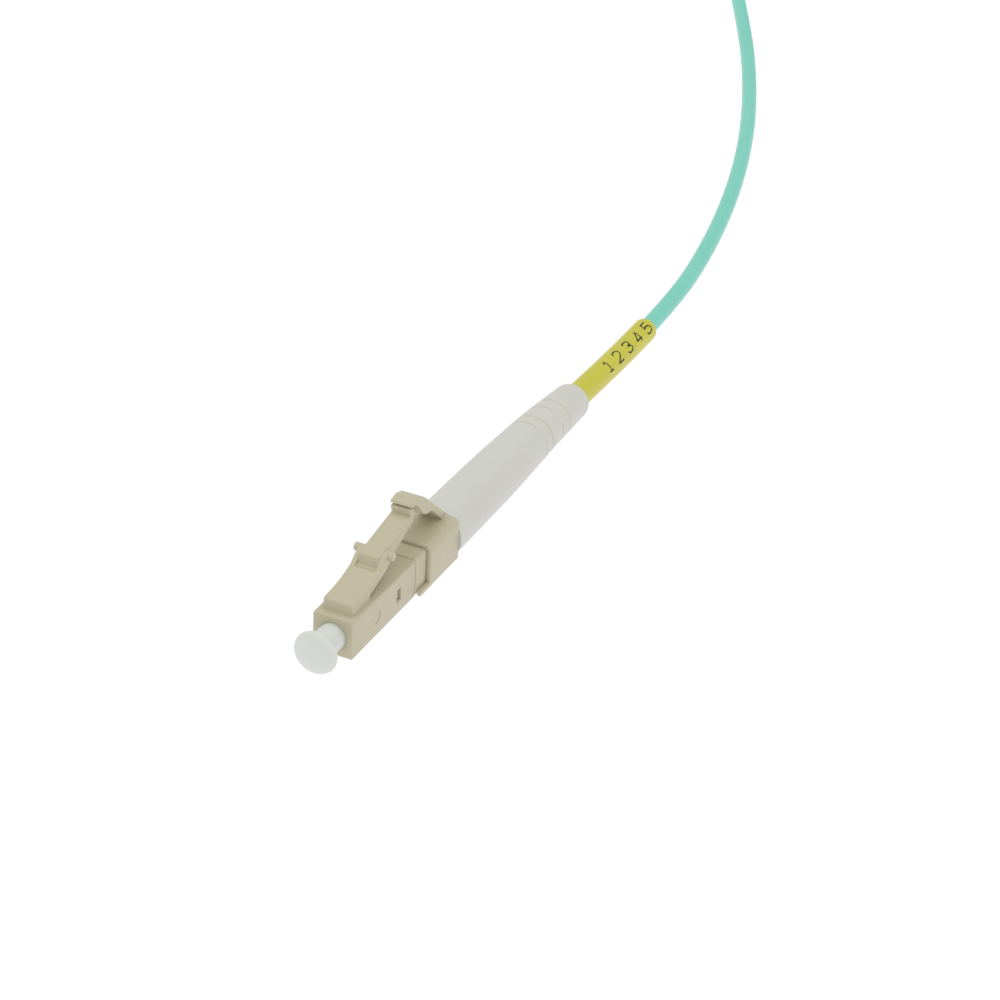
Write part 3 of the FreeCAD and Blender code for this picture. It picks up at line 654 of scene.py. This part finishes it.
def trigger_foot_edge(middle):
    """No softening where the trigger leaves its foot, nor on the clip's fine rails."""
    at_foot = abs((middle - TRIGGER_LOW).dot(TRIGGER_WAY)) < 2 * SAME_PLACE and middle.z > FOOT_ABOVE_Z
    return 0.0 if at_foot or middle.z < RAILS_BELOW_Z else SOFT_EDGE


def rounded_line(corners):
    """Points on a closed line through (x, z, radius) corners, each corner rounded."""
    line = []
    for k, (x, z, radius) in enumerate(corners):
        corner = Vector((x, z))
        before = (Vector(corners[k - 1][:2]) - corner).normalized()
        after = (Vector(corners[(k + 1) % len(corners)][:2]) - corner).normalized()
        if not radius:
            line.append(corner)
            continue
        turn = math.pi - before.angle(after)
        reach = radius * math.tan(turn / 2)
        centre = corner + (before + after).normalized() * (radius / math.cos(turn / 2))
        start = corner + before * reach - centre
        way = 1 if before.cross(after) < 0 else -1
        steps = max(2, math.ceil(turn / ARC_STEP))
        for t in range(steps + 1):
            angle = way * turn * t / steps
            line.append(centre + Vector((start.x * math.cos(angle) - start.y * math.sin(angle),
                                         start.x * math.sin(angle) + start.y * math.cos(angle))))
    return line


def plate(corners, width):
    """A flat plate of a width across Y from a side line of (x, z) points."""
    shape = bmesh.new()
    sides = [[shape.verts.new((p.x, side * width / 2, p.y)) for p in corners] for side in (1, -1)]
    shape.faces.new(sides[0])
    shape.faces.new(list(reversed(sides[1])))
    for k in range(len(corners)):
        n = (k + 1) % len(corners)
        shape.faces.new((sides[0][k], sides[1][k], sides[1][n], sides[0][n]))
    bmesh.ops.recalc_face_normals(shape, faces=shape.faces)
    return shape


collar = soft_edged(cad_shape("trigger_collar"), "collar_moulding", trigger_foot_edge)
moulded_piece(collar, "plug", "trigger_collar")
foot_pad = soft_edged(plate(rounded_line(PAD_CORNERS), PAD_WIDTH), "trigger_foot_pad")
in_resin(foot_pad)
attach(foot_pad, "plug")
trigger_rows = [(TRIGGER_LOW + TRIGGER_WAY * (TRIGGER_BEND * t / TRIGGER_ROWS), TRIGGER_WAY)
                for t in range(1, TRIGGER_ROWS + 1)]
trigger = soft_edged(plate(rounded_line(TRIGGER_CORNERS), TRIGGER_WIDTH), "trigger_moulding",
                     trigger_foot_edge, trigger_rows)
in_resin(trigger)
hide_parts("trigger_lever")
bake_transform(trigger)


# ---- Boot ----
# The strain relief, moulded in a soft light grey elastomer and pushed over the
# crimp, with pairs of thin slits near its tip that let it bend with the cable.
BOOT_FRONT_X = -0.02248
BOOT_TIP_X = ROUTE[0][0]
BOOT_SKIN = [(BOOT_FRONT_X, 0.00307), (-0.02948, 0.00303), (-0.03648, 0.00295), (-0.04619, 0.002635),
             (-0.0559, 0.0022)]
BOOT_LIP = [(-0.05622, 0.00215), (-0.05652, 0.00203), (-0.05672, 0.00188), (BOOT_TIP_X, 0.00168),
            (-0.05681, 0.00160), (-0.0567, 0.00157)]
BOOT_BORE = [(-0.05385, 0.00154), (-0.05345, 0.00113), (-0.0329, 0.00113), (-0.0325, 0.00146),
             (-0.02887, 0.00146), (-0.0281, 0.0021), (BOOT_FRONT_X, 0.0021)]
SLIT_FROM_TIP = (0.00585, 0.00785, 0.01075, 0.01245)
SLIT_WIDTH = 0.00027
SLIT_DEPTH = 0.00003
SLIT_ENDS = ((-26, 116), (154, 296))
SLIT_MARGIN = 0.00005
SLIT_CLEARING = 0.00012
ROW_PITCH = 0.0007
ROW_COUNT = 34
BOOT_SIDES = 120
FRONT_TAPER = 0.4
DROOP = Vector((0, ROUTE[0][1], ROUTE[0][2]))
DROOP_START_X = -0.0460
DROOP_POWER = 1.5


def grey_elastomer(name, tints):
    """Thermoplastic elastomer, moulded: light grey, soft satin, very fine grain. Given warmer tints it
    becomes the slits' copy,
    which carries painted light: the warm light that passes through the thin skin down in a slit is painted
    into its colour."""
    return satin_polymer(name, tints, (6.7, 2.0), (0.17, 3.0), 0.25,
                         {"Roughness": 0.5, "IOR": 1.5, "Subsurface Weight": 0.15,
                          "Subsurface Scale": 0.0005})


def skin_radius(x):
    """The boot's outer radius at a place: a smooth cubic through its listed sizes,
    whose taper starts gently at the front."""
    for k in range(len(BOOT_SKIN) - 1):
        (x1, r1), (x2, r2) = BOOT_SKIN[k], BOOT_SKIN[k + 1]
        if x >= x2 - 1e-9:
            break
    x0, r0 = BOOT_SKIN[k - 1] if k else (2 * x1 - x2, r1 + (r1 - r2) * FRONT_TAPER)
    x3, r3 = BOOT_SKIN[k + 2] if k + 2 < len(BOOT_SKIN) else (2 * x2 - x1, 2 * r2 - r1)
    t = (x - x1) / (x2 - x1)
    m1 = (r2 - r0) / (x2 - x0) * (x2 - x1)
    m2 = (r3 - r1) / (x3 - x1) * (x2 - x1)
    return ((2 * t ** 3 - 3 * t ** 2 + 1) * r1 + (t ** 3 - 2 * t ** 2 + t) * m1
            + (3 * t ** 2 - 2 * t ** 3) * r2 + (t ** 3 - t ** 2) * m2)


def boot_rows(slits):
    """Where the boot's rings of points lie, from its front on: at even steps, but
    beside a slit at its two edges and a margin out from each."""
    beside = {x for front, back in slits for x in (front + SLIT_MARGIN, front, back, back - SLIT_MARGIN)}
    even = [BOOT_FRONT_X - ROW_PITCH * k for k in range(ROW_COUNT)]
    clear = {x for x in even if not any(abs(x - edge) < SLIT_CLEARING for slit in slits for edge in slit)}
    return sorted(beside | clear, reverse=True)


def boot_shell():
    """The boot as a grid of rows and columns, its slits sunk between them, every other
    pair turned by 90 degrees, and its tip drawn over to where the cable leaves it."""
    slits = [(BOOT_TIP_X + back + SLIT_WIDTH / 2, BOOT_TIP_X + back - SLIT_WIDTH / 2)
             for back in SLIT_FROM_TIP]
    rows = boot_rows(slits)
    profile = [(x, skin_radius(x)) for x in rows] + [BOOT_SKIN[-1]] + BOOT_LIP + BOOT_BORE
    angles = sorted({round(360 * i / BOOT_SIDES, 3) for i in range(BOOT_SIDES)}
                    | {float((a + turn) % 360) for pair in SLIT_ENDS for a in pair for turn in (0, 90)})
    turns = [math.radians(a) for a in angles]
    mesh = bmesh.new()
    rings = []
    for x, radius in profile:
        rings.append([mesh.verts.new((x, radius * math.cos(a), radius * math.sin(a))) for a in turns])
    sunk = []
    for k, (ring, after) in enumerate(zip(rings, rings[1:] + rings[:1])):
        middle_x = (profile[k][0] + profile[(k + 1) % len(profile)][0]) / 2
        slit = next((s for s, (x0, x1) in enumerate(slits) if x1 < middle_x < x0 and k < len(rows)), None)
        for i in range(len(angles)):
            j = (i + 1) % len(angles)
            face = mesh.faces.new((ring[i], ring[j], after[j], after[i]))
            if slit is None:
                continue
            middle_a = (angles[i] + (angles[j] if j else 360)) / 2 - (90 if slit % 2 else 0)
            if any(a < middle_a + turn < b for a, b in SLIT_ENDS for turn in (-360, 0, 360)):
                sunk.append(face)
    pushed = bmesh.ops.extrude_face_region(mesh, geom=sunk)
    for vert in (v for v in pushed["geom"] if isinstance(v, bmesh.types.BMVert)):
        reach = math.hypot(vert.co.y, vert.co.z)
        vert.co.y *= 1 - SLIT_DEPTH / reach
        vert.co.z *= 1 - SLIT_DEPTH / reach
    # The slit floors and walls take the second material, whose warmer tint is painted light.
    for face in (f for f in pushed["geom"] if isinstance(f, bmesh.types.BMFace)):
        face.material_index = 1
    bmesh.ops.delete(mesh, geom=sunk, context="FACES")
    for vert in mesh.verts:
        bend = max(0.0, (DROOP_START_X - vert.co.x) / (DROOP_START_X - BOOT_TIP_X))
        vert.co += DROOP * bend ** DROOP_POWER
    made = add_piece(mesh, "boot_moulding")
    shade(made.data, TUBE_CREASE)
    return made


boot = boot_shell()
boot.data.materials.append(grey_elastomer("grey_elastomer_moulded", ("#D2D3CB", "#D9DAD3")))
# The second material is painted light in the slits: a warmer tint for light passing through the thin skin.
boot.data.materials.append(grey_elastomer("elastomer_slit_painted_light", ("#D3CCB8", "#D9D2BF")))
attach(boot, "plug")
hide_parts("boot")


# ---- Dust cap ----
# A soft natural-white cap, moulded in low-density polyethylene: its skirt is
# pushed into the plug's nose over the ferrule, and its flared head is the grip.
CAP_SIDES = 128
CAP_CREASE = 60
CAP_BORE = 0.0006645
RIM_CENTRE = (0.0034, 0.00195)
RIM_RADIUS = 0.00045


def natural_polyethylene():
    """Low-density polyethylene, moulded: milky, softly translucent, waxy satin."""
    return satin_polymer("natural_polyethylene_moulded", ("#D9DDD7", "#E0E4DF"), (3.3, 2.0), (0.2, 2.0), 0.2,
                         {"Roughness": 0.45, "IOR": 1.51, "Subsurface Weight": 0.4,
                          "Subsurface Scale": 0.0008})


def arc(a, b, c, parts):
    """Points on the circle through three (x, radius) points, after the first one."""
    ax, ay, bx, by, cx, cy = *a, *b, *c
    d = 2 * (ax * (by - cy) + bx * (cy - ay) + cx * (ay - by))
    aa, bb, cc = ax * ax + ay * ay, bx * bx + by * by, cx * cx + cy * cy
    ux = (aa * (by - cy) + bb * (cy - ay) + cc * (ay - by)) / d
    uy = (aa * (cx - bx) + bb * (ax - cx) + cc * (bx - ax)) / d
    start, through, stop = (math.atan2(y - uy, x - ux) for x, y in (a, b, c))
    sweep = (stop - start) % (2 * math.pi)
    if (through - start) % (2 * math.pi) > sweep:
        sweep -= 2 * math.pi
    size = math.hypot(ax - ux, ay - uy)
    turns = [start + sweep * k / parts for k in range(1, parts + 1)]
    return [(ux + size * math.cos(turn), uy + size * math.sin(turn)) for turn in turns]


def on_rim(degrees):
    """A point on the round rim of the cap's head."""
    turn = math.radians(degrees)
    return RIM_CENTRE[0] + RIM_RADIUS * math.cos(turn), RIM_CENTRE[1] + RIM_RADIUS * math.sin(turn)


skirt_end = (0.0009, 0.0015)
waist = (0.00215, 0.00136)
gate = (0.00425, 0.0003)
cap_profile = [(0.0019, 0), (0.0019, CAP_BORE), (-0.0020, CAP_BORE), (-0.0020, 0.00132), (-0.00195, 0.00138),
               (-0.0017, 0.0015), skirt_end]
cap_profile += arc(skirt_end, (0.0014, 0.00143), waist, 10)
cap_profile += arc(waist, (0.002647, 0.001523), on_rim(180), 12)
cap_profile += arc(on_rim(180), on_rim(100), on_rim(20), 20)
cap_profile += arc(on_rim(20), (0.004107, 0.00126), gate, 20)
cap_profile += [(0.00423, 0.00022), (0.00423, 0)]
cap = turned_shell("cap_moulding", cap_profile, CAP_SIDES, crease=CAP_CREASE)
cap.data.materials.append(natural_polyethylene())
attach(cap, "cap")
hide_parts("dust_cap")


# ---- Ferrule, fibre, flange and spring ----
# What the cap covers: a ground zirconia ferrule pressed into a plated flange, the
# fibre bonded in its capillary, and the drawn steel spring behind the flange.


def dress(node, material):
    """Gives a CAD node its material."""
    thing = cad[node]
    if not thing.material_slots:
        thing.data.materials.append(material)
    for slot in thing.material_slots:
        slot.material = material


def ground_zirconia():
    """Zirconia, ground and polished: bright white, glassy, with no grain to see."""
    return smooth_finish("zirconia_ground_polished", 0.25, (0.06, 0.14),
                         {"Base Color": linear("#F1F0EA"), "IOR": 2.1, "Subsurface Weight": 0.1,
                          "Subsurface Scale": 0.0003})


def plated_nickel():
    """Nickel plate over turned brass: warm grey metal with faint turning rings."""
    made, tree, out = fresh_material("nickel_plated_turned")
    place = put(tree, "ShaderNodeTexCoord").outputs["Object"]
    stretch = put(tree, "ShaderNodeMapping", {"Scale": (spots_of(0.11), spots_of(5.0), spots_of(5.0))},
                  {"Vector": place})
    rings = put(tree, "ShaderNodeTexNoise", {"Scale": 1.0, "Detail": 2.0},
                {"Vector": stretch.outputs["Vector"]})
    rough = put(tree, "ShaderNodeMapRange", {"To Min": 0.22, "To Max": 0.4},
                {"Value": rings.outputs["Fac"]})
    bump = put(tree, "ShaderNodeBump", {"Strength": 0.2, "Distance": 0.000005},
               {"Height": rings.outputs["Fac"]})
    skin = put(tree, "ShaderNodeBsdfPrincipled", {"Base Color": linear("#C8C2B4"), "Metallic": 1.0},
               {"Roughness": rough.outputs["Result"], "Normal": bump.outputs["Normal"]})
    tree.links.new(skin.outputs[0], out.inputs["Surface"])
    return made


def drawn_wire():
    """Stainless spring wire, drawn: bright, with a fine unevenness from the die."""
    return smooth_finish("stainless_wire_drawn", 0.083, (0.2, 0.36),
                         {"Base Color": linear("#BFC0C2"), "Metallic": 1.0})


dress("ferrule", ground_zirconia())
dress("glass_fibre", glass_look)
dress("ferrule_flange", plated_nickel())
dress("ferrule_spring", drawn_wire())


# ---- Inside the boot and the extender ----
# What holds the cable: yarn spread over the extender's barrel, a plated brass
# crimp squeezed over it and the jacket, and the tube that leads the fibre.


def crimped_brass():
    """Plated brass, squeezed by the crimp's dies: satin gold with small dents."""
    made, tree, out = fresh_material("brass_plated_crimped")
    place = put(tree, "ShaderNodeTexCoord").outputs["Object"]
    dents = put(tree, "ShaderNodeTexNoise", {"Scale": spots_of(1.1), "Detail": 3.0}, {"Vector": place})
    rough = put(tree, "ShaderNodeMapRange", {"To Min": 0.28, "To Max": 0.45},
                {"Value": dents.outputs["Fac"]})
    bump = put(tree, "ShaderNodeBump", {"Strength": 0.4, "Distance": 0.00003},
               {"Height": dents.outputs["Fac"]})
    skin = put(tree, "ShaderNodeBsdfPrincipled", {"Base Color": linear("#CDB67A"), "Metallic": 1.0},
               {"Roughness": rough.outputs["Result"], "Normal": bump.outputs["Normal"]})
    tree.links.new(skin.outputs[0], out.inputs["Surface"])
    return made


def clear_tube():
    """Polypropylene tube, extruded: milky clear and smooth."""
    return smooth_finish("clear_polypropylene_extruded", 0.4, (0.2, 0.34),
                         {"Base Color": linear("#EDEDE8"), "IOR": 1.49, "Transmission Weight": 0.4})


dress("crimp_ring", crimped_brass())
dress("aramid_yarn", yarn_look)
dress("guide_tube", clear_tube())
dress("buffered_fibre", buffer_look)
dress("jacket_end", cable.data.materials[0])


# ---- Ties round the coil ----
# Two short straps of black nylon hook-and-loop tape, each closed on itself round
# the coil, its loop side out.
LOOPS_A_SQUARE_MM = 14.0
LOOP_SIZE = 0.00016
LOOP_SWEEP = math.radians(200)
THREAD_SHARE = 0.16
ANY_TURN = 6.283
TIE_SEED = 7


def woven_tape():
    """Nylon hook-and-loop tape, woven: matt black with a fine cross rib."""
    made, tree, out = fresh_material("black_nylon_woven")
    place = put(tree, "ShaderNodeTexCoord").outputs["Object"]
    rib = put(tree, "ShaderNodeTexWave", {"Scale": spots_of(0.83), "Distortion": 1.0}, {"Vector": place})
    tint = put(tree, "ShaderNodeMix", {"data_type": "RGBA", 6: linear("#17171A"), 7: linear("#2C2C30")},
               {0: rib.outputs["Fac"]})
    bump = put(tree, "ShaderNodeBump", {"Strength": 0.6, "Distance": 0.00005},
               {"Height": rib.outputs["Fac"]})
    skin = put(tree, "ShaderNodeBsdfPrincipled", {"Roughness": 0.85},
               {"Base Color": tint.outputs[2], "Normal": bump.outputs["Normal"]})
    tree.links.new(skin.outputs[0], out.inputs["Surface"])
    return made


tape = woven_tape()


def loop_pile():
    """A tree that stands small open loops all over a tape's skin."""
    tree = bpy.data.node_groups.new("tape_loops", "GeometryNodeTree")
    tree.interface.new_socket("Tape", in_out="INPUT", socket_type="NodeSocketGeometry")
    tree.interface.new_socket("Loops per square metre", in_out="INPUT", socket_type="NodeSocketFloat")
    tree.interface.new_socket("Loop size", in_out="INPUT", socket_type="NodeSocketFloat")
    tree.interface.new_socket("Seed", in_out="INPUT", socket_type="NodeSocketInt")
    tree.interface.new_socket("Tape", in_out="OUTPUT", socket_type="NodeSocketGeometry")
    given = tree.nodes.new("NodeGroupInput")
    done = tree.nodes.new("NodeGroupOutput")
    spread = put(tree, "GeometryNodeDistributePointsOnFaces",
                 links={"Mesh": given.outputs["Tape"], "Density": given.outputs["Loops per square metre"],
                        "Seed": given.outputs["Seed"]})
    bow = put(tree, "GeometryNodeCurveArc", {"Resolution": 5, "Sweep Angle": LOOP_SWEEP},
              {"Radius": given.outputs["Loop size"]})
    stand = put(tree, "GeometryNodeTransform", {"Rotation": (math.radians(90), 0, 0)},
                {"Geometry": bow.outputs["Curve"]})
    thread = put(tree, "ShaderNodeMath", {"operation": "MULTIPLY", 1: THREAD_SHARE},
                 {0: given.outputs["Loop size"]})
    section = put(tree, "GeometryNodeCurvePrimitiveCircle", {"Resolution": 3},
                  {"Radius": thread.outputs[0]})
    wire = put(tree, "GeometryNodeCurveToMesh", {"Fill Caps": True},
               {"Curve": stand.outputs["Geometry"], "Profile Curve": section.outputs["Curve"]})
    turn = put(tree, "FunctionNodeRandomValue", {"data_type": "FLOAT", 2: 0.0, 3: ANY_TURN},
               {"Seed": given.outputs["Seed"]})
    spin = put(tree, "ShaderNodeCombineXYZ", links={"Z": turn.outputs[1]})
    facing = put(tree, "FunctionNodeRotateRotation", {"rotation_space": "LOCAL"},
                 {0: spread.outputs["Rotation"], 1: spin.outputs[0]})
    planted = put(tree, "GeometryNodeInstanceOnPoints",
                  links={"Points": spread.outputs["Points"], "Instance": wire.outputs["Mesh"],
                         "Rotation": facing.outputs[0]})
    both = put(tree, "GeometryNodeJoinGeometry")
    tree.links.new(planted.outputs["Instances"], both.inputs[0])
    tree.links.new(given.outputs["Tape"], both.inputs[0])
    real = put(tree, "GeometryNodeRealizeInstances", links={"Geometry": both.outputs[0]})
    inked = put(tree, "GeometryNodeSetMaterial", {"Material": tape}, {"Geometry": real.outputs[0]})
    tree.links.new(inked.outputs[0], done.inputs[0])
    return tree


def strap(node, name, tree):
    """One strap: a merged copy of its CAD node with the loops of its pile."""
    shape = cad_shape(node)
    made = bpy.data.meshes.new(name)
    shape.to_mesh(made)
    shape.free()
    made.update()
    made.set_sharp_from_angle(angle=math.radians(MOULDED_CREASE))
    thing = bpy.data.objects.new(name, made)
    scene.collection.objects.link(thing)
    pile = thing.modifiers.new("pile", "NODES")
    pile.node_group = tree
    sizes = {"Loops per square metre": LOOPS_A_SQUARE_MM * 1e6, "Loop size": LOOP_SIZE, "Seed": TIE_SEED}
    for item in tree.interface.items_tree:
        if item.in_out == "INPUT" and item.name in sizes:
            pile[item.identifier] = sizes[item.name]
    final = plain_mesh(thing)
    thing.modifiers.clear()
    thing.data = final
    bpy.data.meshes.remove(made)
    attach(thing, "plug")
    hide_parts(node)
    return thing


loops = loop_pile()
ties = [strap("coil_tie_near", "tape_near", loops), strap("coil_tie_far", "tape_far", loops)]


# ---- Table, light and camera ----
# A light table, whose glow washes every shadow out, soft light from a wide
# studio tent with a box lamp in its roof, and the camera.
TABLE_BELOW = 0.00005
TABLE_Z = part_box("boot")[0][2] - TABLE_BELOW
TABLE_SIZE = 4.0
GLOW_COLOUR = (1.0, 0.97, 1.005, 1.0)
GLOW_STRENGTH = 1.06
TENT_STRENGTH = 0.62
ROOF_PLACE = Vector((0.03, 0.0, 0.75))
ROOF_AIM = Vector((-0.04, 0, 0))
ROOF_SIZE = 1.1
ROOF_POWER = 2.9
ROOF_COLOUR = (1.0, 0.99, 0.94)
CAMERA_PLACE = (0.21657, 0.11513, 0.16337)
CAMERA_AZIMUTH = math.radians(114.294)
CAMERA_ELEVATION = math.radians(30.914)
CAMERA_ROLL = math.radians(3.273)
CAMERA_LENS = 106.63


def lit_opal():
    """Opal acrylic, lit from below: even white light with no shadow on it, and
    clear from beneath, so that the part's underside can be looked at too."""
    made, tree, out = fresh_material("opal_acrylic_lit")
    glow = put(tree, "ShaderNodeEmission", {"Color": GLOW_COLOUR, "Strength": GLOW_STRENGTH})
    clear = put(tree, "ShaderNodeBsdfTransparent")
    beneath = put(tree, "ShaderNodeNewGeometry").outputs["Backfacing"]
    sheet = put(tree, "ShaderNodeMixShader", links={0: beneath, 1: glow.outputs[0], 2: clear.outputs[0]})
    tree.links.new(sheet.outputs[0], out.inputs["Surface"])
    return made


bpy.ops.mesh.primitive_plane_add(size=TABLE_SIZE, location=(0, 0, TABLE_Z))
table = bpy.context.object
table.name = "table_top"
table.data.materials.append(lit_opal())

scene.view_settings.view_transform = "Standard"
tent = bpy.data.worlds.new("studio_tent")
tent.use_nodes = True
tent.node_tree.nodes["Background"].inputs["Color"].default_value = (1, 1, 1, 1)
tent.node_tree.nodes["Background"].inputs["Strength"].default_value = TENT_STRENGTH
scene.world = tent

lamp = bpy.data.lights.new("roof_light", "AREA")
lamp.size = ROOF_SIZE
lamp.energy = ROOF_POWER
lamp.color = ROOF_COLOUR
roof_light = bpy.data.objects.new("roof_light", lamp)
roof_light.location = ROOF_PLACE
roof_light.rotation_euler = (ROOF_AIM - ROOF_PLACE).to_track_quat("-Z", "Y").to_euler()
scene.collection.objects.link(roof_light)

back = Vector((math.sin(CAMERA_AZIMUTH) * math.cos(CAMERA_ELEVATION),
               -math.cos(CAMERA_AZIMUTH) * math.cos(CAMERA_ELEVATION), math.sin(CAMERA_ELEVATION)))
level = Vector((math.cos(CAMERA_AZIMUTH), math.sin(CAMERA_AZIMUTH), 0))
above = back.cross(level)
right = level * math.cos(CAMERA_ROLL) + above * math.sin(CAMERA_ROLL)
up = above * math.cos(CAMERA_ROLL) - level * math.sin(CAMERA_ROLL)
lens = bpy.data.cameras.new("camera")
lens.sensor_width = 36.0
lens.lens = CAMERA_LENS
lens.clip_start = 0.01
lens.clip_end = 20.0
camera = bpy.data.objects.new("camera", lens)
turn = Matrix((right, up, back)).transposed().to_4x4()
camera.matrix_world = Matrix.Translation(CAMERA_PLACE) @ turn
scene.collection.objects.link(camera)
scene.camera = camera
